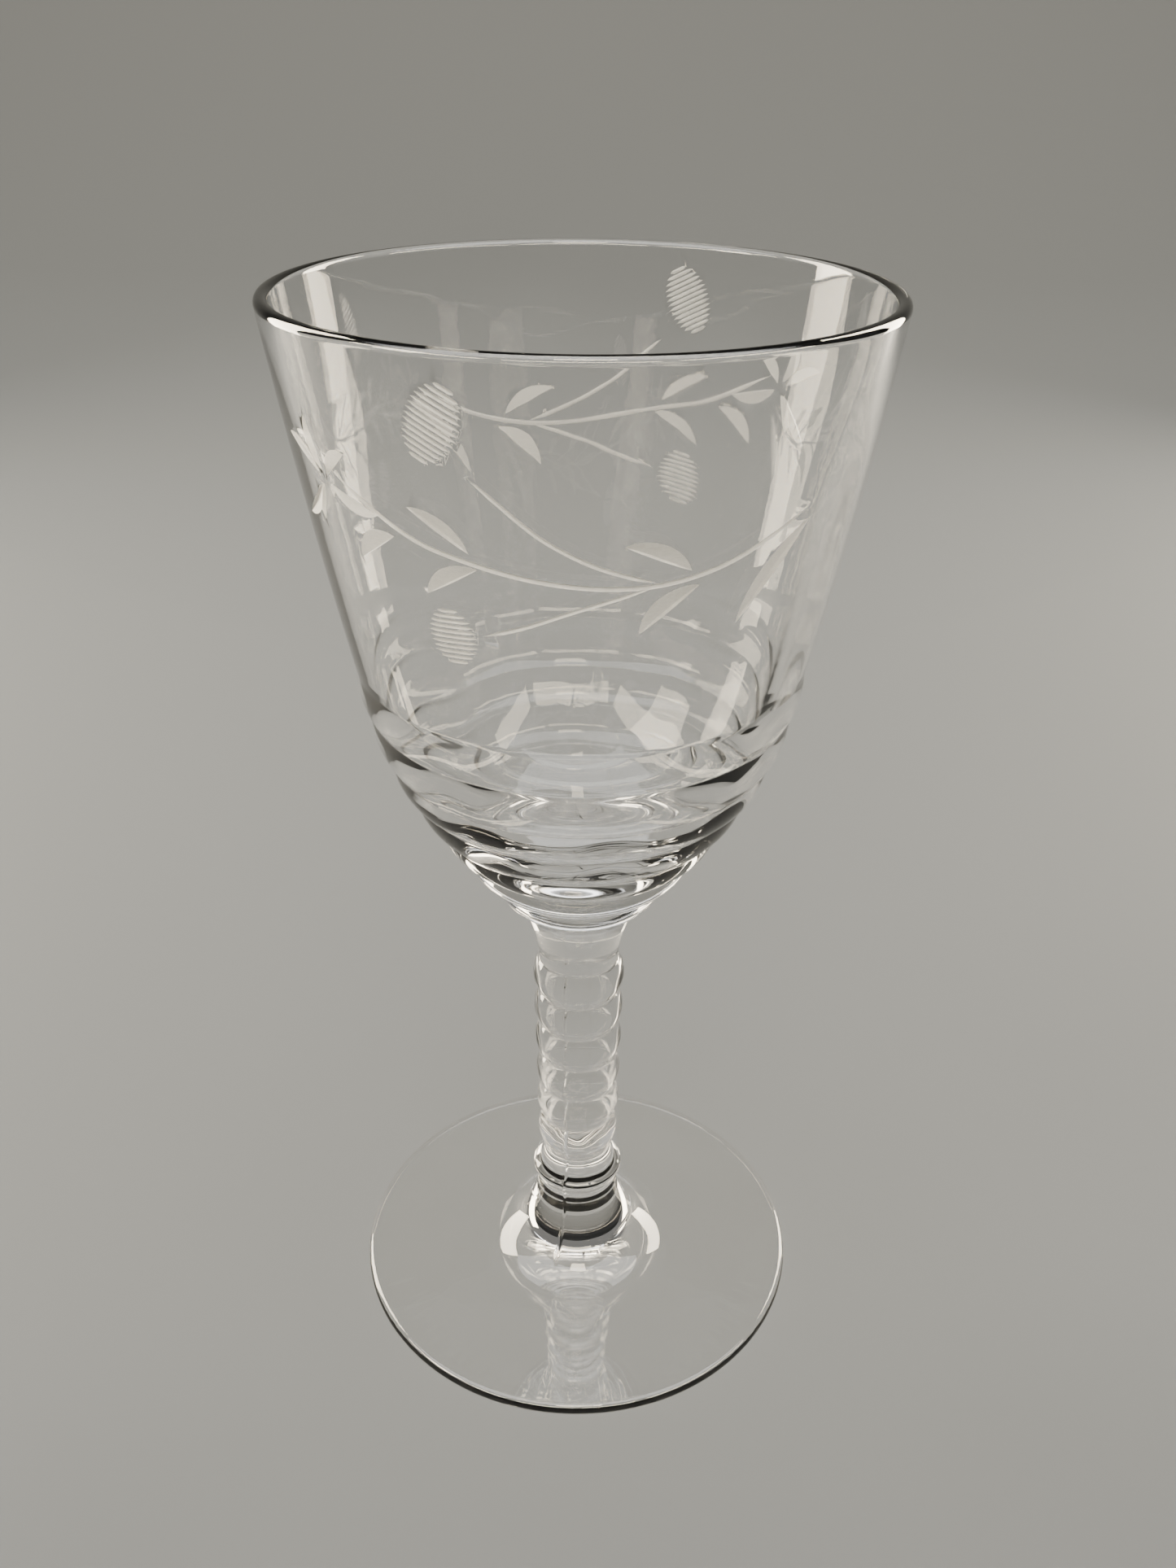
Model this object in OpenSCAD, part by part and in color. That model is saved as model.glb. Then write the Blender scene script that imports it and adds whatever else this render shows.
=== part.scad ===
// Wine glass in clear glass: a blown bowl, a moulded ringed stem and a round foot.
// The three were fused end to end while hot, so each pair meets on one flat round face.
// The origin is the middle of the plane that the foot stands on. +Z is up. Millimetres.

/* [Overall] */
// Height of the whole glass
glass_h = 165; // [137:1:200]
// Outer diameter of the bowl at the rim
rim_d = 80.4; // [67:0.2:98]
// Diameter of the foot
foot_d = 74.2; // [60:0.2:96]

/* [Joints] */
// Height of the joint between the foot and the stem
foot_joint_z = 15.7; // [13:0.1:19]
// Diameter of the joint between the foot and the stem
foot_joint_d = 13.8; // [11:0.1:14.4]
// Height of the joint between the stem and the bowl
bowl_joint_z = 73.8; // [72:0.1:88]
// Diameter of the joint between the stem and the bowl
bowl_joint_d = 18; // [15:0.1:24]

/* [Bowl] */
// Thickness of the bowl's wall
wall_t = 1.9; // [1.4:0.1:2.4]
// Outward swell of the wall between the rim and the shoulder
wall_swell = 0.35; // [0.1:0.05:1]
// Height of the ringed base of the bowl above the stem
base_h = 35.1; // [29:0.5:43]
// Diameter at the groove above the top ring of the base
base_d = 59.7; // [54:0.1:66]
// How far the guide curve of the base keeps its width, as a share of that width
base_full_r = 0.87; // [0.8:0.01:0.96]
// How high the guide curve of the base turns in, as a share of its height
base_full_z = 0.63; // [0.55:0.01:0.7]
// Number of rings on the base
base_rings = 6; // [3:1:8]
// Height of the top ring of the base, which is the tallest
top_ring_h = 7.5; // [5:0.1:10]
// How far each ring of the base stands out of its grooves
base_ring_bulge = 0.8; // [0.3:0.05:1.2]
// Height of the shoulder between the top groove and the straight wall
shoulder_h = 6.6; // [5:0.1:9]
// How far the shoulder stands out past the top groove
shoulder_step = 1.5; // [1.2:0.05:2.6]
// How far the shoulder rounds outwards
shoulder_bulge = 0.55; // [0.2:0.05:1]
// Thickness of the solid glass between the stem and the floor of the bowl
floor_t = 7.6; // [5:0.1:10]
// How far the inside follows the wall's line below the shoulder before it turns in
inside_depth = 20; // [14:0.5:22]
// How far out the floor of the bowl stays level
inside_floor_r = 13; // [8:0.5:15]

/* [Stem] */
// Number of round rings on the stem
stem_rings = 6; // [3:1:6]
// Height of one ring
ring_h = 6.47; // [5:0.01:6.8]
// Diameter of the top ring
ring_top_d = 14.7; // [12:0.1:17.8]
// Diameter of the lowest ring
ring_low_d = 13.2; // [11:0.1:16]
// How far a ring stands out of the grooves beside it
ring_bulge = 1.15; // [0.6:0.05:1.6]
// Height of the neck between the top ring and the bowl
neck_h = 10.6; // [8.5:0.1:12]
// How far the side of the neck is hollowed
neck_hollow = 0.5; // [0.2:0.05:0.8]
// Diameter of the collar at the lower end of the stem
collar_d = 15.1; // [14.6:0.1:18.2]
// Height of the collar's widest line above the foot joint
collar_h = 3.5; // [2.8:0.1:4.2]
// Radius of the collar's rounded lip
lip_r = 1.2; // [0.8:0.05:1.4]

/* [Foot] */
// Thickness of the foot at its edge
foot_edge_t = 2.2; // [1.6:0.1:2.8]
// Height of the foot's top where the cone grows out of the disc
foot_mid_t = 3.7; // [3:0.1:4.5]
// Width of the flat ring that the foot stands on
stand_ring_w = 2.6; // [1.5:0.1:4]
// Height of the shallow hollow under the foot, at its middle
hollow_h = 1.6; // [0.4:0.1:1.9]

/* [Hidden] */
$fn = 96;

// Steps in each short arc and in each long curve
arc_steps = 8;
curve_steps = 20;

// Clear glass, with the faint grey that it takes on where it is thick
glass = [0.86, 0.87, 0.86, 0.45];

// Bowl: the ringed base, the shoulder, the wall, the rim and the inside
base_top = [base_d / 2, bowl_joint_z + base_h];
base_low = [bowl_joint_d / 2, bowl_joint_z];
base_turn = [
    base_low.x + base_full_r * (base_top.x - base_low.x),
    base_low.y + base_full_z * (base_top.y - base_low.y)
];
low_ring_h = (base_h - top_ring_h) / (base_rings - 1);
shoulder_top = base_top + [shoulder_step, shoulder_h];
rim_r = wall_t / 2;
rim_mid = [rim_d / 2 - rim_r, glass_h - rim_r];
rim_out = rim_mid + [rim_r, 0];
rim_in = rim_mid - [rim_r, 0];
inside_top = shoulder_top - [wall_t, 0];
inside_turn = inside_top - inside_depth * unit(rim_in - inside_top);
inside_floor = [0, bowl_joint_z + floor_t];

// Stem: the neck, the rings between their grooves and the collar
rings_top = bowl_joint_z - neck_h;
groove_top_r = ring_top_d / 2 - ring_bulge;
groove_low_r = ring_low_d / 2 - ring_bulge;
lip_mid = [collar_d / 2 - lip_r, foot_joint_z + collar_h];
// The lip's round stretch runs this far up and down from its widest line, in degrees
lip_turn = 50;
// How far the sides above and below the lip are hollowed
lip_hollow = 0.3;

// Foot: the cone, the disc's sloping top, the round edge and the ring it stands on
edge_r = foot_edge_t / 2;
disc_r = foot_d / 2 - edge_r;
disc_edge = [disc_r, foot_edge_t];
cone_r = foot_joint_z - foot_mid_t;
cone_mid = [foot_joint_d / 2 + cone_r, foot_joint_z];
// Angle at which the cone's hollow curve runs out into the straight top of the disc
cone_end = angle(disc_edge - cone_mid) - acos(cone_r / norm(disc_edge - cone_mid)) + 360;
stand_r = disc_r - stand_ring_w;

function unit(v) = v / norm(v);
function angle(v) = atan2(v.y, v.x);

// The outline functions below give the points from a start up to, but without, an end.

// Arc from a to b that stands out by h to the right of the way, or to the left if h < 0
function bulged(a, b, h, steps = arc_steps) =
    let (
        way = unit(b - a),
        side = [way.y, -way.x],
        half = norm(b - a) / 2,
        r = (half * half + h * h) / (2 * h),
        mid = (a + b) / 2 + side * (h - r),
        reach = asin(half / r)
    )
    [for (i = [0 : steps - 1])
        let (turn = reach * (2 * i / steps - 1))
        mid + r * (side * cos(turn) + way * sin(turn))];

// Arc of radius r round mid between two angles
function arc(mid, r, start, end, steps = arc_steps) =
    [for (i = [0 : steps - 1])
        let (turn = start + (end - start) * i / steps)
        mid + r * [cos(turn), sin(turn)]];

// Cubic curve from a to b that sets out towards p and comes in from q
function curve(a, p, q, b, steps = curve_steps) =
    [for (i = [0 : steps - 1])
        let (t = i / steps, s = 1 - t)
        s ^ 3 * a + 3 * s ^ 2 * t * p + 3 * s * t ^ 2 * q + t ^ 3 * b];

// The grooves of the base lie on a quadratic curve through base_low and base_top.
// This gives its share t at height z, and then its point there.
function guide_share(z) =
    let (
        a = base_low.y - 2 * base_turn.y + base_top.y,
        b = 2 * (base_turn.y - base_low.y),
        c = base_low.y - z
    )
    2 * c / (-b - sqrt(b ^ 2 - 4 * a * c));
function guide(z) =
    let (t = guide_share(z), s = 1 - t)
    s ^ 2 * base_low + 2 * s * t * base_turn + t ^ 2 * base_top;

// Groove i of the base, counted up from the stem
function base_groove(i) = i == base_rings ? base_top : guide(bowl_joint_z + i * low_ring_h);

// Groove i of the stem, counted down from the neck
function stem_groove(i) =
    [groove_top_r + (groove_low_r - groove_top_r) * i / stem_rings, rings_top - i * ring_h];

module bowl() {
    outside = concat(
        [[0, bowl_joint_z]],
        [for (i = [0 : base_rings - 1])
            each bulged(base_groove(i), base_groove(i + 1), base_ring_bulge)],
        bulged(base_top, shoulder_top, shoulder_bulge),
        bulged(shoulder_top, rim_out, wall_swell)
    );
    inside = concat(
        bulged(rim_in, inside_top, -wall_swell),
        curve(inside_top, inside_turn, inside_floor + [inside_floor_r, 0], inside_floor),
        [inside_floor]
    );
    color(glass)
    rotate_extrude()
    polygon(concat(outside, arc(rim_mid, rim_r, 0, 180, 2 * arc_steps), inside));
}

module stem() {
    lip_top = lip_mid + lip_r * [cos(lip_turn), sin(lip_turn)];
    lip_low = lip_mid + lip_r * [cos(lip_turn), -sin(lip_turn)];
    foot_joint = [foot_joint_d / 2, foot_joint_z];
    collar = concat(
        bulged(foot_joint, lip_low, -lip_hollow),
        arc(lip_mid, lip_r, -lip_turn, lip_turn),
        bulged(lip_top, stem_groove(stem_rings), -lip_hollow)
    );
    rings = [for (i = [stem_rings : -1 : 1])
        each bulged(stem_groove(i), stem_groove(i - 1), ring_bulge)];
    neck = concat(
        bulged(stem_groove(0), base_low, -neck_hollow),
        [base_low]
    );
    color(glass)
    rotate_extrude()
    polygon(concat([[0, foot_joint_z]], collar, rings, neck, [[0, bowl_joint_z]]));
}

module foot() {
    hollow = [for (i = [0 : arc_steps])
        let (share = 1 - i / arc_steps)
        [stand_r * share, hollow_h * (1 - share ^ 2)]];
    top = concat(
        arc([disc_r, edge_r], edge_r, -90, 90, 2 * arc_steps),
        [disc_edge],
        [for (i = [0 : curve_steps - 1])
            let (turn = cone_end + (180 - cone_end) * i / curve_steps)
            cone_mid + cone_r * [cos(turn), sin(turn)]],
        [[foot_joint_d / 2, foot_joint_z], [0, foot_joint_z]]
    );
    color(glass)
    rotate_extrude()
    polygon(concat([for (i = [arc_steps : -1 : 0]) hollow[i]], top));
}

bowl();
stem();
foot();
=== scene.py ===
# %% [markdown]
# # A cut wine glass
# A stem glass is three gathers of glass, fused end to end while they are hot: a blown bowl,
# a moulded stem and a round foot. The design holds each as a plain solid. This lesson
# turns each one again on a finer outline, and adds what the hand and the tools leave:
# panels inside the bowl, seams down the stem, a soft wave in the surface, and the spray
# of leaves that a grinding wheel cuts into the wall.

# %% Load the frame
import math

import bpy
from mathutils import Matrix, Vector


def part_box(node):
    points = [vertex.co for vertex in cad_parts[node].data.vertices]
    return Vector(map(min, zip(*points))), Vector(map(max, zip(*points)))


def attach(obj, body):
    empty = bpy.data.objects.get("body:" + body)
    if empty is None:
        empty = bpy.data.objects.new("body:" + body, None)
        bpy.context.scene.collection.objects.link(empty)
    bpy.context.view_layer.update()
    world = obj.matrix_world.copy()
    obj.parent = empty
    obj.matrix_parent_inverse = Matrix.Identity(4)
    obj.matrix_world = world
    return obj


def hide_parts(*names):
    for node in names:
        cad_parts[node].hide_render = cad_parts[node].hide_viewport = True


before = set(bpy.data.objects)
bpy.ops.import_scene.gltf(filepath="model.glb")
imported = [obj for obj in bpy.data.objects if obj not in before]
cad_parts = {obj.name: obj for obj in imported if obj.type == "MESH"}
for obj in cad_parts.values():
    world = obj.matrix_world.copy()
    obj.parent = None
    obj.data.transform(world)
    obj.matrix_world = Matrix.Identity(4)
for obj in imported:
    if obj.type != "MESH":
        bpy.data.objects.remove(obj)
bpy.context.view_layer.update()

# %% [markdown]
# ## Measures
# Heights, joints and radii come from the design's own solids, so that the new pieces meet
# where the old ones do. What a solid's box can't say, such as how many rings there are, is
# named in the cell that draws it. Everything is in metres, so MM and UM turn the maker's
# millimetres and thousandths into metres. SAME is how close two places must be to count
# as one.

# %% Measures
MM = 0.001
UM = 0.000001
SAME = 10 * UM

bowl_low, bowl_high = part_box("bowl")
stem_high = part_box("stem")[1]
foot_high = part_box("foot")[1]

GLASS_TOP = bowl_high[2]
BOWL_JOINT = bowl_low[2]
FOOT_JOINT = foot_high[2]
RIM_R = bowl_high[0]
NECK_TOP_R = stem_high[0]
FOOT_R = foot_high[0]
print(f"rim radius {RIM_R / MM:.1f} mm, foot radius {FOOT_R / MM:.1f} mm")
print(f"height {GLASS_TOP / MM:.1f} mm, joints at {FOOT_JOINT / MM:.1f} and {BOWL_JOINT / MM:.1f} mm")

# %% [markdown]
# ## Outlines
# Mould makers and glass workers draw with arcs. Each outline is a run of points that goes
# out from the axis, round the piece, and back to the axis. A point is a radius and a
# height. One helper gives an arc that stands out from the straight line between two
# points by a given bulge, a second gives part of a circle, and a third gives a curve
# pulled towards two handles. The last number in each call is how many steps it is drawn
# in, and the end point is left to whatever comes next.

# %% Arcs and curves
def point(radius_mm, height_mm):
    """A place on an outline, in metres."""
    return Vector((radius_mm * MM, height_mm * MM))


def bulged(start, end, bulge, steps):
    """Points on an arc that stands out to the right of the way, or to the left if bulge is negative."""
    way = (end - start).normalized()
    side = Vector((way.y, -way.x))
    half = (end - start).length / 2
    radius = (half ** 2 + bulge ** 2) / (2 * bulge)
    middle = (start + end) / 2 + side * (bulge - radius)
    reach = math.asin(half / radius)
    turns = [reach * (2 * i / steps - 1) for i in range(steps)]
    return [middle + radius * (side * math.cos(turn) + way * math.sin(turn)) for turn in turns]


def arc(middle, radius, first, last, steps):
    """Points of a circle's arc between two angles in degrees."""
    turns = [math.radians(first + (last - first) * i / steps) for i in range(steps)]
    return [middle + radius * Vector((math.cos(turn), math.sin(turn))) for turn in turns]


def pulled(start, handle_a, handle_b, end, steps):
    """Points on a curve from start to end that is pulled towards two handles."""
    found = []
    for i in range(steps):
        t = i / steps
        s = 1 - t
        found.append(s ** 3 * start + 3 * s * s * t * handle_a + 3 * s * t * t * handle_b + t ** 3 * end)
    return found


crown = bulged(point(0, 0), point(0, 10), 1 * MM, 2)[1]
print(f"the arc over a 10 mm line with a 1 mm bulge is {crown.x / MM:.1f} mm out at its middle")

# %% [markdown]
# The bowl stands on six rings that shrink towards the stem. Their grooves lie on one
# smooth curve, and between two grooves the glass swells out a little. Above them comes a
# small shoulder, then the long wall, the melted rim, and the inside down to its floor.
# The rim's arc starts and ends with the wall's own lean, RIM_LEAN, in degrees. An extra
# point close to each end of the wall keeps its long faces straight in smooth shading. A
# kink there, however small, would bend what is seen through the glass. BASE_FULL says how
# full the base's curve is: where its handle stands, as shares of its width and height.

# %% The bowl's outline
BASE_RINGS = 6
BASE_TOP = point(29.85, 108.9)
BASE_LOW = Vector((NECK_TOP_R, BOWL_JOINT))
BASE_FULL = (0.87, 0.63)
TOP_RING_H = 7.5 * MM
BASE_BULGE = 0.8 * MM
SHOULDER_TOP = BASE_TOP + point(1.5, 6.6)
SHOULDER_BULGE = 0.55 * MM
WALL_T = 1.9 * MM
WALL_SWELL = 0.35 * MM
FLOOR_T = 7.6 * MM
INSIDE_DEPTH = 20 * MM
LEVEL_FLOOR_R = 13 * MM
RIM_LEAN = 8.7
NEAR_RIM = 0.04
NEAR_SHOULDER = 0.2

rim_mid = Vector((RIM_R - WALL_T / 2, GLASS_TOP - WALL_T / 2))
rim_side = Vector((math.cos(math.radians(RIM_LEAN)), -math.sin(math.radians(RIM_LEAN))))
rim_out = rim_mid + rim_side * WALL_T / 2
rim_in = rim_mid - rim_side * WALL_T / 2
inside_top = SHOULDER_TOP - Vector((WALL_T, 0))
inside_floor = Vector((0, BOWL_JOINT + FLOOR_T))


def base_guide(height):
    """The point at this height on the curve that the grooves of the base lie on."""
    full_r, full_z = BASE_FULL
    span = BASE_TOP - BASE_LOW
    turn = BASE_LOW + Vector((full_r * span.x, full_z * span.y))
    a = BASE_LOW.y - 2 * turn.y + BASE_TOP.y
    b = 2 * (turn.y - BASE_LOW.y)
    c = BASE_LOW.y - height
    t = 2 * c / (-b - math.sqrt(b * b - 4 * a * c))
    return (1 - t) ** 2 * BASE_LOW + 2 * t * (1 - t) * turn + t * t * BASE_TOP


low_ring_h = (BASE_TOP.y - BASE_LOW.y - TOP_RING_H) / (BASE_RINGS - 1)
base_grooves = [base_guide(BOWL_JOINT + i * low_ring_h) for i in range(BASE_RINGS)] + [BASE_TOP.copy()]


def bowl_outline():
    """From the joint up the outside, over the rim, and down the inside to the floor."""
    points = [Vector((0, BOWL_JOINT)), Vector((NECK_TOP_R / 2, BOWL_JOINT))]
    for low, high in zip(base_grooves, base_grooves[1:]):
        points += bulged(low, high, BASE_BULGE, 12)
    points += bulged(BASE_TOP, SHOULDER_TOP, SHOULDER_BULGE, 12)
    outer = bulged(SHOULDER_TOP, rim_out, WALL_SWELL, 20)
    inner = bulged(rim_in, inside_top, -WALL_SWELL, 20)
    points += outer[:1] + [outer[0].lerp(outer[1], NEAR_SHOULDER)] + outer[1:]
    points += [outer[-1].lerp(rim_out, 1 - NEAR_RIM)]
    points += arc(rim_mid, WALL_T / 2, -RIM_LEAN, 180 - RIM_LEAN, 24)
    points += inner[:1] + [inner[0].lerp(inner[1], NEAR_RIM)] + inner[1:]
    turn_in = inside_top - INSIDE_DEPTH * (rim_in - inside_top).normalized()
    points += pulled(inside_top, turn_in, inside_floor + Vector((LEVEL_FLOOR_R, 0)), inside_floor, 36)
    return points + [inside_floor]


wall_line = bulged(SHOULDER_TOP, rim_out, WALL_SWELL, 40) + [rim_out]


def wall_radius(height):
    """The outer radius of the straight wall at this height."""
    for low, high in zip(wall_line, wall_line[1:]):
        if height <= high.y:
            break
    share = (height - low.y) / (high.y - low.y)
    return low.x + share * (high.x - low.x)


print("bowl outline has", len(bowl_outline()), "points")

# %% [markdown]
# The stem was pressed in a two-part mould: a plain neck, six round rings one on the next,
# and a collar with a rounded lip where it sits on the foot. LIP_TURN is how many degrees
# the lip turns above and below level. The foot is a disc with a cone in the middle, and a
# shallow hollow underneath, so that it stands on a ring near its edge. The disc's top has
# an extra point close to the edge, for the same reason as the bowl's wall.

# %% The outlines of the stem and the foot
STEM_RINGS = 6
RING_H = 6.47 * MM
RING_BULGE = 1.15 * MM
NECK_H = 10.6 * MM
NECK_HOLLOW = 0.5 * MM
RING_TOP_R = 7.35 * MM
RING_LOW_R = 6.6 * MM
COLLAR_R = 7.55 * MM
COLLAR_H = 3.5 * MM
LIP_R = 1.2 * MM
LIP_TURN = 50
LIP_HOLLOW = 0.3 * MM
FOOT_JOINT_R = 6.9 * MM
EDGE_T = 2.2 * MM
FOOT_MID_T = 3.7 * MM
STAND_RING_W = 2.6 * MM
HOLLOW_H = 1.6 * MM
HOLLOW_STEPS = 12
DISC_STEPS = 14
NEAR_EDGE = 0.1

rings_top = BOWL_JOINT - NECK_H
lip_mid = Vector((COLLAR_R - LIP_R, FOOT_JOINT + COLLAR_H))


def stem_groove(i):
    """Groove i of the stem, counted down from the neck."""
    radius = RING_TOP_R + (RING_LOW_R - RING_TOP_R) * i / STEM_RINGS - RING_BULGE
    return Vector((radius, rings_top - i * RING_H))


stem_grooves = [stem_groove(i) for i in range(STEM_RINGS + 1)]


def stem_outline():
    """From the joint with the foot up the collar, the rings and the neck."""
    lean = math.radians(LIP_TURN)
    lip_top = lip_mid + LIP_R * Vector((math.cos(lean), math.sin(lean)))
    lip_low = lip_mid + LIP_R * Vector((math.cos(lean), -math.sin(lean)))
    points = [Vector((0, FOOT_JOINT)), Vector((FOOT_JOINT_R / 2, FOOT_JOINT))]
    points += bulged(Vector((FOOT_JOINT_R, FOOT_JOINT)), lip_low, -LIP_HOLLOW, 6)
    points += arc(lip_mid, LIP_R, -LIP_TURN, LIP_TURN, 12)
    points += bulged(lip_top, stem_grooves[-1], -LIP_HOLLOW, 8)
    for low, high in zip(stem_grooves[::-1], stem_grooves[-2::-1]):
        points += bulged(low, high, RING_BULGE, 14)
    points += bulged(stem_grooves[0], BASE_LOW, -NECK_HOLLOW, 12)
    return points + [BASE_LOW.copy(), Vector((NECK_TOP_R / 2, BOWL_JOINT)), Vector((0, BOWL_JOINT))]


def foot_outline():
    """From the hollow's top out under the disc, round its edge, and up the cone to the joint."""
    edge_r = EDGE_T / 2
    disc_r = FOOT_R - edge_r
    stand_r = disc_r - STAND_RING_W
    cone_r = FOOT_JOINT - FOOT_MID_T
    cone_mid = Vector((FOOT_JOINT_R + cone_r, FOOT_JOINT))
    edge_top = Vector((disc_r, EDGE_T))
    out = edge_top - cone_mid
    cone_end = 360 + math.degrees(math.atan2(out.y, out.x) - math.acos(cone_r / out.length))
    cone = arc(cone_mid, cone_r, cone_end, 180, 28)
    shares = [i / HOLLOW_STEPS for i in range(HOLLOW_STEPS + 1)]
    points = [Vector((stand_r * share, HOLLOW_H * (1 - share ** 2))) for share in shares]
    points += arc(Vector((disc_r, edge_r)), edge_r, -90, 90, 20)
    steps = (0, NEAR_EDGE, *range(1, DISC_STEPS))
    points += [edge_top.lerp(cone[0], step / DISC_STEPS) for step in steps]
    return points + cone + [
        Vector((FOOT_JOINT_R, FOOT_JOINT)),
        Vector((FOOT_JOINT_R / 2, FOOT_JOINT)),
        Vector((0, FOOT_JOINT)),
    ]


print("stem outline has", len(stem_outline()), "points, foot outline", len(foot_outline()))

# %% [markdown]
# ## The lathe
# A round piece could be a cylinder pulled about ring by ring, or a curve with a screw
# modifier. Spinning one drawn edge is nearest to how a mould is turned, and gives even
# quads all round. The edge starts as a plane merged to a single corner, which is then
# extruded from point to point. The grooves are rounded with a bevel while it is still an
# edge, because heat softens them in the real glass. The wide foot is spun in twice as many
# steps as the others, so that its edge looks just as round.

# %% The lathe
GROOVE_ROUND = 0.2 * MM
TURNS = 256
FOOT_TURNS = 512


def deselect_all():
    bpy.ops.object.select_all(action="DESELECT")


def pick(piece):
    """Selects one object alone and makes it the active one."""
    deselect_all()
    bpy.context.view_layer.objects.active = piece
    piece.select_set(True)


def select_corners(piece, wanted):
    """Selects the corners for which wanted(place) is true, and leaves edit mode open."""
    bpy.ops.object.mode_set(mode="EDIT")
    bpy.ops.mesh.select_mode(type="VERT")
    bpy.ops.mesh.select_all(action="DESELECT")
    bpy.ops.object.mode_set(mode="OBJECT")
    for corner in piece.data.vertices:
        corner.select = wanted(corner.co)
    bpy.ops.object.mode_set(mode="EDIT")


def turned(name, outline, grooves, turns):
    """A round piece: its outline drawn as an edge, its grooves rounded, and spun about the axis."""
    deselect_all()
    bpy.ops.mesh.primitive_plane_add(size=MM)
    piece = bpy.context.object
    piece.name = piece.data.name = name
    bpy.ops.object.mode_set(mode="EDIT")
    bpy.ops.mesh.select_all(action="SELECT")
    bpy.ops.mesh.merge(type="CENTER")
    bpy.ops.transform.translate(value=(outline[0].x, 0, outline[0].y))
    for here, there in zip(outline, outline[1:]):
        step = there - here
        bpy.ops.mesh.extrude_vertices_move(TRANSFORM_OT_translate={"value": (step.x, 0, step.y)})
    bpy.ops.object.mode_set(mode="OBJECT")

    def in_groove(place):
        return any((Vector((place.x, place.z)) - groove).length < SAME for groove in grooves)

    select_corners(piece, in_groove)
    bpy.ops.mesh.bevel(offset=GROOVE_ROUND, segments=4, affect="VERTICES")
    bpy.ops.mesh.select_all(action="SELECT")
    bpy.ops.mesh.spin(steps=turns, angle=math.tau, center=(0, 0, 0), axis=(0, 0, 1))
    bpy.ops.mesh.select_all(action="SELECT")
    bpy.ops.mesh.remove_doubles(threshold=UM)
    bpy.ops.mesh.normals_make_consistent(inside=False)
    bpy.ops.object.mode_set(mode="OBJECT")
    print(name, "turned:", len(piece.data.vertices), "corners,", len(piece.data.polygons), "faces")
    return piece


bowl = turned("wine_bowl", bowl_outline(), base_grooves[1:], TURNS)
stem = turned("ringed_stem", stem_outline(), stem_grooves, TURNS)
foot = turned("round_foot", foot_outline(), [], FOOT_TURNS)
for piece, node in ((bowl, "bowl"), (stem, "stem"), (foot, "foot")):
    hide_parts(node)
    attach(piece, "root")

# %% [markdown]
# ## Soft panels inside the bowl
# The bowl was blown into a mould with eight flat sides before it got its last shape, so
# its inside still has eight soft ridges. They can't be seen head on, but they bend every
# reflection that crosses them. A displace modifier moves the inside wall along its own
# normals, and a vertex group says how much of that each corner takes. The ridges rise
# between the two heights of FLOOR_FADE above the floor, and are gone between the two
# depths of RIM_FADE below the rim.

# %% Press the panels
PANELS = 8
PANEL_TURN = 11
PANEL_RISE = 0.32 * MM
FLOOR_FADE = (1 * MM, 14 * MM)
RIM_FADE = (22 * MM, 3 * MM)
LEAST_WEIGHT = 0.001


def front_angle(place):
    """Degrees round the glass from its front, which faces -Y, towards +X."""
    return math.degrees(math.atan2(place.x, -place.y))


def smooth_step(low, high, value):
    """0 up to low, 1 from high, and a soft rise between them."""
    t = min(1.0, max(0.0, (value - low) / (high - low)))
    return t * t * (3 - 2 * t)


def weigh(piece, group_name, weight_of):
    """A vertex group whose weights come from weight_of(corner)."""
    group = piece.vertex_groups.new(name=group_name)
    for corner in piece.data.vertices:
        weight = weight_of(corner)
        if weight > LEAST_WEIGHT:
            group.add([corner.index], min(weight, 1.0), "REPLACE")


def displaced(piece, group_name, strength, texture=None):
    """Moves a piece's corners along their normals, by strength times the group's weight."""
    pick(piece)
    shift = piece.modifiers.new("shift", "DISPLACE")
    shift.vertex_group = group_name
    shift.strength = strength
    shift.mid_level = 0.5 if texture else 0
    if texture:
        shift.texture = texture
        shift.texture_coords = "LOCAL"
    bpy.ops.object.modifier_apply(modifier="shift")


def panel_weight(corner):
    place = corner.co
    inward = corner.normal.x * place.x + corner.normal.y * place.y
    if inward >= 0 or place.z < inside_floor.y:
        return 0
    ridge = 0.5 + 0.5 * math.cos(math.radians(PANELS * (front_angle(place) - PANEL_TURN)))
    from_floor = smooth_step(inside_floor.y + FLOOR_FADE[0], inside_floor.y + FLOOR_FADE[1], place.z)
    to_rim = 1 - smooth_step(GLASS_TOP - RIM_FADE[0], GLASS_TOP - RIM_FADE[1], place.z)
    return ridge ** 2 * from_floor * to_rim


weigh(bowl, "panels", panel_weight)
displaced(bowl, "panels", PANEL_RISE)
print(f"{PANELS} ridges stand {PANEL_RISE / MM:.2f} mm proud inside the bowl")

# %% [markdown]
# ## Mould seams
# Where the two halves of the stem's mould met, hot glass crept into the gap and left a
# fine raised line on each side. It runs over the rings and the collar and down the cone.
# The same displace modifier raises it, with a weight that falls to nothing beside the line,
# next to the joints, near the axis, and where the cone flattens out. SEAM_TURN and
# SEAM_HALF_W are degrees round the glass.

# %% Raise the seams
SEAM_TURN = -18.28
SEAM_RISE = 0.24 * MM
SEAM_HALF_W = 2.9
SEAM_FREE_R = 2 * MM
SEAM_JOINT_FADE = 1.5 * MM
CONE_FADE = (4.5 * MM, 9 * MM)


def from_joints(height):
    """How far a height is from the nearer joint."""
    return min(abs(height - FOOT_JOINT), abs(height - BOWL_JOINT))


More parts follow.
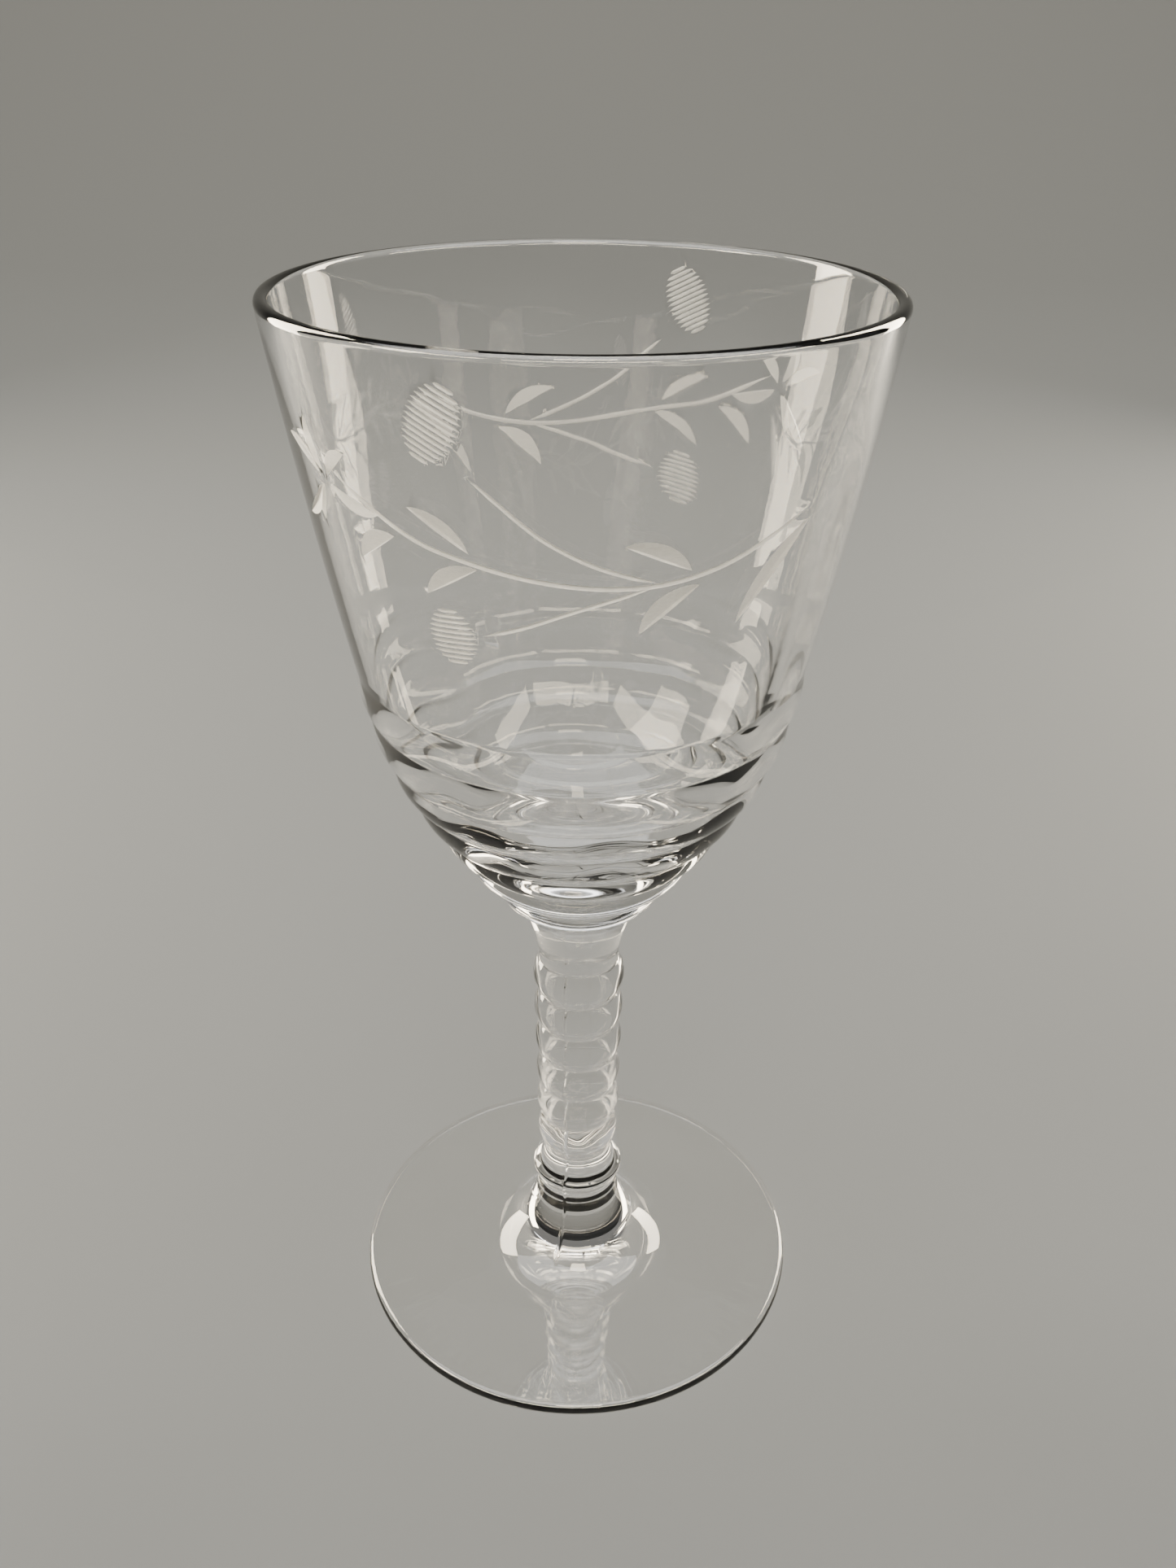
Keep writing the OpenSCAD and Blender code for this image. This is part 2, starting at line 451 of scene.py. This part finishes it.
def seam_weight(corner):
    place = corner.co
    if math.hypot(place.x, place.y) < SEAM_FREE_R:
        return 0
    off = abs((front_angle(place) - SEAM_TURN + 90) % 180 - 90)
    across = 1 - smooth_step(0, SEAM_HALF_W, off)
    to_joint = smooth_step(0, SEAM_JOINT_FADE, from_joints(place.z))
    down_cone = smooth_step(*CONE_FADE, place.z)
    return across * to_joint * down_cone


for piece in (stem, foot):
    weigh(piece, "seams", seam_weight)
    displaced(piece, "seams", SEAM_RISE)
print("two seams, half a turn apart, the first at", SEAM_TURN, "degrees from the front")

# %% [markdown]
# ## Fire polish
# After pressing, the stem and foot go back to the fire to melt away the mould's marks.
# The skin flows a little, so no highlight on it is a perfect line. A cloud texture pushes
# the skin in and out by a few hundredths of a millimetre. It leaves the joints alone, and
# the ring that the foot stands on and the foot's edge, which must keep their size.

# %% Let the skin flow
POLISH_WAVE = 0.09 * MM
JOINT_FADE = 2 * MM
STAND_FADE = (0.6 * MM, 2.4 * MM)
EDGE_FADE = (2 * MM, 0.5 * MM)


def cloud(name, size):
    texture = bpy.data.textures.new(name, "CLOUDS")
    texture.noise_scale = size
    texture.noise_depth = 1
    return texture


def polish_weight(corner):
    place = corner.co
    radius = math.hypot(place.x, place.y)
    from_stand = smooth_step(*STAND_FADE, place.z)
    from_edge = 1 - smooth_step(FOOT_R - EDGE_FADE[0], FOOT_R - EDGE_FADE[1], radius)
    return smooth_step(0, JOINT_FADE, from_joints(place.z)) * from_stand * from_edge


stem_flow = cloud("stem_flow", 5 * MM)
foot_flow = cloud("foot_flow", 9 * MM)
for piece, flow in ((stem, stem_flow), (foot, foot_flow)):
    weigh(piece, "polish", polish_weight)
    displaced(piece, "polish", POLISH_WAVE, flow)
print(f"skin of the stem and foot moved by up to {POLISH_WAVE / 2 / MM:.3f} mm")

# %% [markdown]
# The worker's paddle leaves fine radial ripples under the foot's edge, where the soft disc
# was pressed down on it. Seen through the glass they glint as a ring of short dashes. Their
# depth comes from three waves round the edge that never quite fall in step. RIPPLE_START
# and RIPPLE_END say between which distances from the edge they rise and die away.

# %% Ripple the foot's edge
RIPPLE_DEPTH = 0.16 * MM
RIPPLE_WAVES = (103, 71, 46)
RIPPLE_START = (6.5 * MM, 4 * MM)
RIPPLE_END = (3.9 * MM, 3.4 * MM)


def ripple_weight(corner):
    place = corner.co
    radius = math.hypot(place.x, place.y)
    if corner.normal.z > 0:
        return 0
    near_edge = smooth_step(FOOT_R - RIPPLE_START[0], FOOT_R - RIPPLE_START[1], radius)
    past_stand = 1 - smooth_step(FOOT_R - RIPPLE_END[0], FOOT_R - RIPPLE_END[1], radius)
    turn = math.radians(front_angle(place))
    beat = sum(math.sin(wave * turn + wave) for wave in RIPPLE_WAVES) / len(RIPPLE_WAVES)
    return near_edge * past_stand * (0.5 + 0.5 * beat)


weigh(foot, "ripples", ripple_weight)
displaced(foot, "ripples", -RIPPLE_DEPTH)
print(f"ripples under the foot's edge are up to {RIPPLE_DEPTH / MM:.2f} mm deep")

# %% [markdown]
# ## The cut spray
# The decoration is ground into the cold bowl with a turning wheel, held to the wall while
# the glass is rolled beneath it. A leaf is one cut with a wheel whose edge has one steep
# and one shallow side: its straight edge is the steep side, and its arched edge is where
# the shallow side runs out. Vines and the ribs of the buds are cut with a small round
# wheel. Each cut here is a real groove: a cutter with the wheel's section is drawn along
# the path and taken away from the wall with a boolean.
#
# A path is given as turns round the bowl from the front, in degrees, and heights, in
# millimetres. The helper puts it on the wall, or a little above or below it.

# %% Places on the wall
WALL_SLOPE = math.atan2(rim_out.x - SHOULDER_TOP.x, rim_out.y - SHOULDER_TOP.y)


def on_wall(turn, height_mm, lift_mm=0.0):
    """The place on the outer wall at a turn and height, lifted off it along its normal."""
    angle = math.radians(turn)
    radius = wall_radius(height_mm * MM) + lift_mm * MM * math.cos(WALL_SLOPE)
    height = height_mm * MM - lift_mm * MM * math.sin(WALL_SLOPE)
    return Vector((radius * math.sin(angle), -radius * math.cos(angle), height))


def shifted(turn, height_mm, across_mm, up_mm):
    """A turn and height moved by millimetres along the wall."""
    up_part = up_mm * math.cos(WALL_SLOPE)
    radius_mm = wall_radius((height_mm + up_part) * MM) / MM
    return turn + math.degrees(across_mm / radius_mm), height_mm + up_part


def apart_mm(a, b):
    """How far two places on the wall are apart, as across and up in millimetres."""
    radius_mm = wall_radius((a[1] + b[1]) / 2 * MM) / MM
    across = math.radians(b[0] - a[0]) * radius_mm
    return Vector((across, (b[1] - a[1]) / math.cos(WALL_SLOPE)))


print(f"the wall leans out {math.degrees(WALL_SLOPE):.1f} degrees")

# %% [markdown]
# The leaf cutter is three rails that run side by side: the steep shoulder, the bottom of
# the cut and the shallow shoulder. Each rail is drawn as an edge, and bridging them
# closes the cutter. The shoulders stand clear of the wall, and the bottom sinks into it
# and comes up again a hair above it, so the cut starts and ends in a point. A line cutter
# is a curve with a round bevel, which gets thinner towards both ends.

# %% The two cutters
cutters = []
RAIL_STEPS = 14
CLEAR_MM = 0.5
STEEP_MM = 0.12
TIP_RISE_MM = 0.02
LEAF_FULLNESS = 0.85
THIN_END = 0.96


def open_empty_mesh():
    """A new mesh with nothing in it, left open in edit mode."""
    deselect_all()
    bpy.ops.mesh.primitive_plane_add(size=MM)
    bpy.ops.object.mode_set(mode="EDIT")
    bpy.ops.mesh.select_all(action="SELECT")
    bpy.ops.mesh.delete(type="VERT")
    return bpy.context.object


def draw_rail(places):
    """Draws one edge chain in the open mesh, from the first place to the last."""
    bpy.ops.mesh.select_all(action="DESELECT")
    bpy.ops.mesh.primitive_circle_add(vertices=3, radius=MM, fill_type="NOTHING", location=places[0])
    bpy.ops.mesh.merge(type="CENTER")
    for here, there in zip(places, places[1:]):
        bpy.ops.mesh.extrude_vertices_move(TRANSFORM_OT_translate={"value": there - here})


def cut_leaf(tip, end, depth_mm, width_mm, arch_left=True):
    """A leaf from tip to end. Its arched side is on the left of the way, or on the right."""
    way = apart_mm(tip, end)
    length = way.length
    along = way.normalized()
    left = Vector((-along.y, along.x)) * (1 if arch_left else -1)
    slope = width_mm / depth_mm
    rails = ([], [], [])
    for i in range(RAIL_STEPS + 1):
        share = i / RAIL_STEPS
        sink = depth_mm * (4 * share * (1 - share)) ** LEAF_FULLNESS - TIP_RISE_MM
        reach = along * length * share
        steep = reach - left * STEEP_MM * (CLEAR_MM + sink) / depth_mm
        shallow = reach + left * slope * (CLEAR_MM + sink)
        rails[0].append(on_wall(*shifted(*tip, steep.x, steep.y), CLEAR_MM))
        rails[1].append(on_wall(*shifted(*tip, reach.x, reach.y), -sink))
        rails[2].append(on_wall(*shifted(*tip, shallow.x, shallow.y), CLEAR_MM))
    cutter = open_empty_mesh()
    for rail in rails:
        draw_rail(rail)
    bpy.ops.mesh.select_all(action="SELECT")
    bpy.ops.mesh.bridge_edge_loops(type="CLOSED")
    for end_place in (0, -1):
        ends = [rail[end_place] for rail in rails]
        bpy.ops.object.mode_set(mode="OBJECT")
        select_corners(cutter, lambda place: any((place - corner).length < UM for corner in ends))
        bpy.ops.mesh.edge_face_add()
    bpy.ops.mesh.select_all(action="SELECT")
    bpy.ops.mesh.quads_convert_to_tris()
    bpy.ops.mesh.normals_make_consistent(inside=False)
    bpy.ops.object.mode_set(mode="OBJECT")
    cutter.name = "leaf_cutter"
    cutters.append(cutter)


def cut_line(places, wheel_mm, bite_mm, taper, spacing_mm=0.8):
    """A round-bottomed line through the places. Taper is the share that runs out at each end."""
    fine = []
    for here, there in zip(places, places[1:]):
        steps = max(1, round(apart_mm(here, there).length / spacing_mm))
        fine += [
            (here[0] + (there[0] - here[0]) * i / steps, here[1] + (there[1] - here[1]) * i / steps)
            for i in range(steps)
        ]
    fine.append(places[-1])
    lift = wheel_mm - bite_mm
    open_empty_mesh()
    draw_rail([on_wall(turn, height, lift) for turn, height in fine])
    bpy.ops.object.mode_set(mode="OBJECT")
    bpy.ops.object.convert(target="CURVE")
    cutter = bpy.context.object
    cutter.data.bevel_depth = wheel_mm * MM
    cutter.data.bevel_resolution = 2
    cutter.data.use_fill_caps = True
    run = cutter.data.splines[0].points
    for i, bead in enumerate(run):
        to_end = min(i, len(run) - 1 - i) / (len(run) - 1)
        bead.radius = 1 - (1 - smooth_step(0, taper, to_end)) * (1 - THIN_END * lift / wheel_mm)
    bpy.ops.object.convert(target="MESH")
    cutter = bpy.context.object
    cutter.name = "line_cutter"
    cutters.append(cutter)


print(f"cutters stand {CLEAR_MM} mm clear of the wall, and a leaf is drawn in {RAIL_STEPS} steps")

# %% [markdown]
# ## Drawing the spray
# A long vine hangs from a star flower and swings up again on the far side. Two shorter
# vines leave it, one down to a small bud and one up to a large bud. Six leaves sit
# beside them. Smooth vines need more points than are worth writing, so a curve is run
# through the few that matter. A leaf is written as its tip, its end, its width in
# millimetres and whether its arch is on the left. A bud is its middle, half its width and
# height, how far its ribs lean, and how many there are. A petal is how far its tip is from
# the flower's middle, across and up, in millimetres.

# %% Vines, leaves, buds and the flower
VINE = [(-51, 149.4), (-42, 146.4), (-31, 143.0), (-20, 141.2), (-8, 139.7), (4, 138.9), (15, 139.1)]
VINE += [(26, 140.6), (36, 143.2), (46, 146.4)]
UPPER_VINE = [(-19, 151.6), (-14, 148.8), (-7, 145.0), (1, 142.1), (8, 140.4), (14, 139.3)]
LOWER_VINE = [(14, 139.1), (7, 137.7), (-2, 135.8), (-11, 133.5), (-20, 131.6)]
FLOWER = (-52.5, 147.2)
PETALS = [(-2.0, 7.4), (-8.6, 3.8), (5.5, 4.2), (9.2, -2.4), (-8.4, -6.6), (-2.8, -6.0)]
PETAL_ROOT = 0.12
LEAVES = [
    ((-19.9, 142.3), (-31.4, 146.9), 1.7, False),
    ((-29.8, 136.3), (-18.4, 140.5), 1.9, True),
    ((19.9, 140.5), (7.0, 144.1), 1.9, False),
    ((10.8, 132.8), (22.0, 138.7), 2.1, True),
    ((31.0, 132.4), (45.8, 144.2), 2.1, True),
    ((-45.6, 138.6), (-35.0, 142.8), 2.1, True),
]
BUDS = [((-25.5, 131.1), 3.3, 3.8, 4, 11), ((-24.0, 157.0), 3.5, 4.9, -27, 14)]
LEAF_DEPTH_MM = 0.5
PETAL_DEPTH_MM = 0.45
PETAL_WIDTH_MM = 1.7
VINE_CUT = {"wheel_mm": 0.42, "bite_mm": 0.17, "taper": 0.12}
SIDE_VINE_CUT = {"wheel_mm": 0.4, "bite_mm": 0.13, "taper": 0.15}
RIB_CUT = {"wheel_mm": 0.34, "bite_mm": 0.13, "taper": 0.2, "spacing_mm": 0.55}


def through(knots, steps=5):
    """Places on a smooth curve through the knots."""
    padded = [knots[0]] + knots + [knots[-1]]
    found = []
    for i in range(1, len(padded) - 2):
        p, q, r, s = (Vector(knot) for knot in padded[i - 1 : i + 3])
        for k in range(steps):
            t = k / steps
            rise = (r - p) / 2
            fall = (s - q) / 2
            a = 2 * t ** 3 - 3 * t ** 2 + 1
            b = t ** 3 - 2 * t ** 2 + t
            c = -2 * t ** 3 + 3 * t ** 2
            d = t ** 3 - t ** 2
            found.append(tuple(a * q + b * rise + c * r + d * fall))
    return found + [tuple(knots[-1])]


def cut_bud(middle, half_w, half_h, lean, ribs):
    """An oval bud filled with straight ribs that lean by a number of degrees."""
    tilt = math.radians(lean)
    along = Vector((math.cos(tilt), math.sin(tilt)))
    up = Vector((-along.y, along.x))
    for i in range(ribs):
        share = (2 * (i + 0.5) / ribs) - 1
        half = half_w * math.sqrt(1 - share ** 2)
        mid = up * half_h * share
        ends = []
        for side in (-1, 1):
            reach = mid + along * half * side
            ends.append(shifted(*middle, reach.x, reach.y))
        cut_line(ends, **RIB_CUT)


def cut_spray(start):
    """One whole spray, with its front at this turn."""

    def moved(knots):
        return [(turn + start, height) for turn, height in knots]

    cut_line(through(moved(VINE)), **VINE_CUT)
    cut_line(through(moved(UPPER_VINE)), **SIDE_VINE_CUT)
    cut_line(through(moved(LOWER_VINE)), **SIDE_VINE_CUT)
    for tip, end, width_mm, arch_left in LEAVES:
        cut_leaf(*moved([tip, end]), LEAF_DEPTH_MM, width_mm, arch_left)
    for middle, half_w, half_h, lean, ribs in BUDS:
        cut_bud(moved([middle])[0], half_w, half_h, lean, ribs)
    flower = moved([FLOWER])[0]
    for i, (across, up) in enumerate(PETALS):
        root = shifted(*flower, across * PETAL_ROOT, up * PETAL_ROOT)
        tip = shifted(*flower, across, up)
        cut_leaf(root, tip, PETAL_DEPTH_MM, PETAL_WIDTH_MM, arch_left=i % 2 == 0)


cut_spray(0)
cut_spray(180)
print(len(cutters), "cuts in two sprays")

# %% [markdown]
# ## Materials
# Clear glass is a principled shader with full transmission. What makes it look like
# glass that was worked by hand is small: cords, which are faint streaks where the melt
# wasn't evenly mixed, and a film of finger marks that dulls the shine in patches. Both
# come from noise in the object's own coordinates, one as bump and one as roughness. The
# stretch scales the cords' noise along each axis: the smaller it is, the longer they run.

# %% The clear glasses
GLASS_INDEX = 1.52


def shader_link(tree, from_node, output, to_node, socket):
    tree.links.new(from_node.outputs[output], to_node.inputs[socket])


def clear_glass(name, stretch, cord_height, shine, dull, colour):
    """Clear glass with cords, and a film of marks that varies from shine to dull."""
    material = bpy.data.materials.new(name)
    material.use_nodes = True
    tree = material.node_tree
    glass = tree.nodes["Principled BSDF"]
    glass.inputs["Base Color"].default_value = (*colour, 1)
    glass.inputs["Transmission Weight"].default_value = 1
    glass.inputs["IOR"].default_value = GLASS_INDEX
    place = tree.nodes.new("ShaderNodeTexCoord")
    squeeze = tree.nodes.new("ShaderNodeMapping")
    squeeze.inputs["Scale"].default_value = stretch
    shader_link(tree, place, "Object", squeeze, "Vector")
    cords = tree.nodes.new("ShaderNodeTexNoise")
    cords.inputs["Scale"].default_value = 100
    cords.inputs["Detail"].default_value = 2
    shader_link(tree, squeeze, "Vector", cords, "Vector")
    bump = tree.nodes.new("ShaderNodeBump")
    bump.inputs["Distance"].default_value = cord_height
    bump.inputs["Strength"].default_value = 1
    shader_link(tree, cords, "Fac", bump, "Height")
    shader_link(tree, bump, "Normal", glass, "Normal")
    film = tree.nodes.new("ShaderNodeTexNoise")
    film.inputs["Scale"].default_value = 45
    film.inputs["Detail"].default_value = 5
    film.inputs["Distortion"].default_value = 0.6
    shader_link(tree, place, "Object", film, "Vector")
    spread = tree.nodes.new("ShaderNodeMapRange")
    spread.inputs["From Min"].default_value = 0.35
    spread.inputs["From Max"].default_value = 0.75
    spread.inputs["To Min"].default_value = shine
    spread.inputs["To Max"].default_value = dull
    shader_link(tree, film, "Fac", spread, "Value")
    shader_link(tree, spread, "Result", glass, "Roughness")
    return material


blown_glass = clear_glass("blown_glass", (0.4, 0.4, 1.6), 30 * UM, 0.0, 0.05, (0.985, 0.985, 0.98))
pressed_glass = clear_glass("pressed_glass", (1.2, 1.2, 0.8), 40 * UM, 0.01, 0.06, (0.98, 0.98, 0.975))
spun_glass = clear_glass("spun_glass", (0.7, 0.7, 1.0), 40 * UM, 0.0, 0.06, (0.985, 0.985, 0.98))
print("clear glasses:", blown_glass.name, pressed_glass.name, spun_glass.name)

# %% [markdown]
# Where the wheel has been, the glass is ground: white and dull, with fine scores. It
# still lets light through but scatters it. At the joints the pieces are melted together,
# so there is no surface for light to bend at, and the joint faces are fully see-through.
# A face belongs to a joint if it is level and lies at a joint's height.

# %% Ground glass and melted joints
LEVEL = 0.999


def ground_glass():
    """White scratched glass, whose fine scores change its roughness, tint and bump."""
    material = bpy.data.materials.new("ground_glass")
    material.use_nodes = True
    tree = material.node_tree
    glass = tree.nodes["Principled BSDF"]
    glass.inputs["Transmission Weight"].default_value = 0.62
    glass.inputs["IOR"].default_value = GLASS_INDEX
    place = tree.nodes.new("ShaderNodeTexCoord")
    squeeze = tree.nodes.new("ShaderNodeMapping")
    squeeze.inputs["Scale"].default_value = (1.0, 1.0, 3.0)
    shader_link(tree, place, "Object", squeeze, "Vector")
    scores = tree.nodes.new("ShaderNodeTexNoise")
    scores.inputs["Scale"].default_value = 1500
    scores.inputs["Detail"].default_value = 4
    shader_link(tree, squeeze, "Vector", scores, "Vector")
    rough = tree.nodes.new("ShaderNodeMapRange")
    rough.inputs["To Min"].default_value = 0.38
    rough.inputs["To Max"].default_value = 0.68
    shader_link(tree, scores, "Fac", rough, "Value")
    shader_link(tree, rough, "Result", glass, "Roughness")
    tint = tree.nodes.new("ShaderNodeMix")
    tint.data_type = "RGBA"
    tint.inputs["A"].default_value = (0.6, 0.61, 0.6, 1)
    tint.inputs["B"].default_value = (0.92, 0.92, 0.9, 1)
    shader_link(tree, scores, "Fac", tint, "Factor")
    tree.links.new(tint.outputs["Result"], glass.inputs["Base Color"])
    bump = tree.nodes.new("ShaderNodeBump")
    bump.inputs["Distance"].default_value = 30 * UM
    shader_link(tree, scores, "Fac", bump, "Height")
    shader_link(tree, bump, "Normal", glass, "Normal")
    return material


def melted_joint():
    """Lets light straight through, as if the two pieces were one."""
    material = bpy.data.materials.new("melted_joint")
    material.use_nodes = True
    tree = material.node_tree
    tree.nodes.clear()
    out = tree.nodes.new("ShaderNodeOutputMaterial")
    through_all = tree.nodes.new("ShaderNodeBsdfTransparent")
    shader_link(tree, through_all, "BSDF", out, "Surface")
    return material


ground = ground_glass()
joint = melted_joint()
for piece, glass in ((bowl, blown_glass), (stem, pressed_glass), (foot, spun_glass)):
    for material in (glass, joint):
        piece.data.materials.append(material)
    for face in piece.data.polygons:
        flat = abs(face.normal.z) > LEVEL
        face.material_index = 1 if flat and from_joints(face.center.z) < SAME else 0
    melted = sum(face.material_index for face in piece.data.polygons)
    print(piece.name, "is", glass.name, "with", melted, "melted joint faces")
bowl.data.materials.append(ground)

# %% [markdown]
# ## Taking the cuts out of the wall
# One boolean takes all the cutters at once. The cutters carry the ground material, and
# the boolean hands it on to the faces they leave. Afterwards the cutters go.

# %% Cut
sprays = bpy.data.collections.new("spray_cutters")
for cutter in cutters:
    cutter.data.materials.clear()
    cutter.data.materials.append(ground)
    for home in list(cutter.users_collection):
        home.objects.unlink(cutter)
    sprays.objects.link(cutter)

pick(bowl)
cut = bowl.modifiers.new("cut", "BOOLEAN")
cut.operation = "DIFFERENCE"
cut.operand_type = "COLLECTION"
cut.collection = sprays
cut.solver = "EXACT"
cut.material_mode = "TRANSFER"
before = len(bowl.data.polygons)
bpy.ops.object.modifier_apply(modifier="cut")
for cutter in cutters:
    bpy.data.objects.remove(cutter)
bpy.data.collections.remove(sprays)
cut_faces = sum(bowl.data.materials[face.material_index] == ground for face in bowl.data.polygons)
print("bowl faces", before, "->", len(bowl.data.polygons), "of which ground", cut_faces)

# %% [markdown]
# Light has to see curves as curves, so every piece is shaded smooth, but the edges of
# the cuts and of the joints stay crisp. An edge is crisp if it turns by more than the
# piece's angle, which is smaller for the bowl, because its cuts are shallow.

# %% Smooth shading
CRISP_ABOVE = {bowl: 24, stem: 38, foot: 38}
for piece, degrees in CRISP_ABOVE.items():
    pick(piece)
    bpy.ops.object.shade_smooth_by_angle(angle=math.radians(degrees))
    print(piece.name, "keeps edges that turn by more than", degrees, "degrees crisp")

# %% [markdown]
# ## Studio
# Clear glass is only seen by what it bends and mirrors, so it needs a plain backdrop and a
# few soft lights with darker gaps between them. The backdrop is one wide sheet that lies
# flat under the glass and curves up far behind it, so that there is no horizon. The foot
# would share its plane with the sheet, so the sheet lies a hair lower. The sheet's own
# tone is dark, but the lights on it are strong, so it comes out pale. The lights that the
# glass mirrors are then much brighter than the sheet, and the cuts stand out.

# %% Backdrop
FLOOR_TONE = (0.050, 0.055, 0.062)
FLOOR_GAP = 0.1 * MM
SHEET_SIZE = 8
SWEEP_R = 1.2
SWEEP_BACK = 1.0
SWEEP_TOP = 3.0
SWEEP_STEPS = 24


def backdrop():
    """One sheet: flat under the glass, then a quarter circle, then upright."""
    deselect_all()
    middle = (0, SWEEP_BACK - SHEET_SIZE / 2, -FLOOR_GAP)
    bpy.ops.mesh.primitive_plane_add(size=SHEET_SIZE, location=middle)
    sheet = bpy.context.object
    sheet.name = "backdrop"
    select_corners(sheet, lambda place: place.y > 0)
    for i in range(SWEEP_STEPS):
        here = math.pi / 2 * i / SWEEP_STEPS
        there = math.pi / 2 * (i + 1) / SWEEP_STEPS
        back = SWEEP_R * (math.sin(there) - math.sin(here))
        up = SWEEP_R * (math.cos(here) - math.cos(there))
        bpy.ops.mesh.extrude_edges_move(TRANSFORM_OT_translate={"value": (0, back, up)})
    bpy.ops.mesh.extrude_edges_move(TRANSFORM_OT_translate={"value": (0, 0, SWEEP_TOP - SWEEP_R)})
    bpy.ops.object.mode_set(mode="OBJECT")
    bpy.ops.object.shade_smooth()
    material = bpy.data.materials.new("pale_paper")
    material.use_nodes = True
    paper = material.node_tree.nodes["Principled BSDF"]
    paper.inputs["Base Color"].default_value = (*FLOOR_TONE, 1)
    paper.inputs["Roughness"].default_value = 0.8
    paper.inputs["Specular IOR Level"].default_value = 0.2
    sheet.data.materials.append(material)
    print("backdrop curves up", SWEEP_BACK, "m behind the glass")


backdrop()

# %% [markdown]
# Two upright strips stand left and right, a little behind the glass. They give the long
# cream streaks inside the bowl and the bright sides of the rings. A band of three panels
# runs round the front, above the viewer, and draws a bright line in every groove. Two
# small windows, one over the viewer's shoulder and one to the left, put the two lights on
# the foot. One wide light overhead and one behind keep the backdrop even. The one behind
# lights only the sheet: it can't be seen in the glass or through it. A light is given its
# place, what it aims at, its width and height in metres, and its power in watts.

# %% Lights
WARM = (1.0, 0.87, 0.66)
GLASS_MIDDLE = (0, 0, 0.1)
STRIP_H = 0.38
BAND_R = 1.25
BAND_H = 0.95
BAND_TURNS = (-62, 0, 62)


def soft_light(name, place, aim, size, power, colour=(1, 1, 1)):
    """One rectangular light, turned to face its aim."""
    light = bpy.data.lights.new(name, "AREA")
    light.shape = "RECTANGLE"
    light.size, light.size_y = size
    light.energy = power
    light.color = colour
    holder = bpy.data.objects.new(name, light)
    bpy.context.collection.objects.link(holder)
    holder.location = place
    holder.rotation_mode = "QUATERNION"
    holder.rotation_quaternion = (Vector(aim) - Vector(place)).to_track_quat("-Z", "Y")
    print(name, "light of", power, "W")
    return holder


world = bpy.data.worlds.new("studio")
bpy.context.scene.world = world
world.use_nodes = True
room = world.node_tree.nodes["Background"]
room.inputs["Color"].default_value = (0.38, 0.37, 0.35, 1)
room.inputs["Strength"].default_value = 0.5
soft_light("left_strip", (-0.55, 0.29, STRIP_H), (0, 0, STRIP_H), (0.24, 0.76), 24, WARM)
soft_light("right_strip", (0.50, 0.41, STRIP_H), (0, 0, STRIP_H), (0.18, 0.76), 18, WARM)
for side in BAND_TURNS:
    turn = math.radians(side)
    place = (BAND_R * math.sin(turn), -BAND_R * math.cos(turn), BAND_H)
    soft_light("front_band", place, GLASS_MIDDLE, (1.3, 0.2), 18, WARM)
soft_light("shoulder_window", (0.02, -0.62, 1.25), GLASS_MIDDLE, (0.34, 0.28), 8, WARM)
soft_light("side_window", (-0.95, -0.40, 0.70), GLASS_MIDDLE, (0.3, 0.34), 9, WARM)
soft_light("overhead", (0.0, -0.15, 1.2), (0, -0.15, 0), (2.0, 0.9), 26)
behind = soft_light("behind", (0.0, 1.1, 1.7), (0, 1.5, 0), (3.4, 1.2), 190, WARM)
behind.visible_glossy = False
behind.visible_transmission = False

# %% [markdown]
# Light that enters the rim or the foot's edge runs round inside the glass and is mirrored
# many times before it gets out. With few bounces these edges would turn black.

# %% Let light run on inside the glass
BOUNCES = 32
bpy.context.scene.cycles.max_bounces = BOUNCES
bpy.context.scene.cycles.transmission_bounces = BOUNCES
print("a ray of light may bounce or pass through a surface", BOUNCES, "times")

# %% [markdown]
# A renderer casts a full shadow behind clear glass, where a real glass gathers the light
# again. The foot and stem are so close to the sheet that this would show as a black ring
# and a black core, so the sheet is lit as if they weren't there. The bowl, which is far
# above, does shade it softly.

# %% No false shadow from the stem and the foot
for piece in (stem, foot):
    piece.visible_shadow = False
    piece.visible_diffuse = False
    print(piece.name, "casts no shadow on the sheet")

# %% [markdown]
# ## Camera
# The glass is looked at from near and above, as by someone who stands at the table. The
# camera looks down by LOOK_DOWN and a touch to the side, and leans a little, all in
# degrees. The lens and the sensor's width are in millimetres.

# %% Camera
CAMERA_PLACE = (0, -0.181, 0.1954)
LOOK_DOWN = 29.21
LOOK_LEFT = -0.38
LEAN = 0.58
LENS = 32.04
SENSOR_W = 36
view = bpy.data.cameras.new("view")
view.lens = LENS
view.sensor_width = SENSOR_W
view.clip_start = 10 * MM
camera = bpy.data.objects.new("view", view)
bpy.context.collection.objects.link(camera)
turn = Matrix.Rotation(math.radians(LOOK_LEFT), 3, "Z")
turn @= Matrix.Rotation(math.radians(90 - LOOK_DOWN), 3, "X")
turn @= Matrix.Rotation(math.radians(LEAN), 3, "Z")
camera.location = CAMERA_PLACE
camera.rotation_euler = turn.to_euler()
bpy.context.scene.camera = camera
print(f"the camera stands {camera.location.length:.3f} m from the middle of the foot")

# %% Finish
bpy.context.view_layer.update()
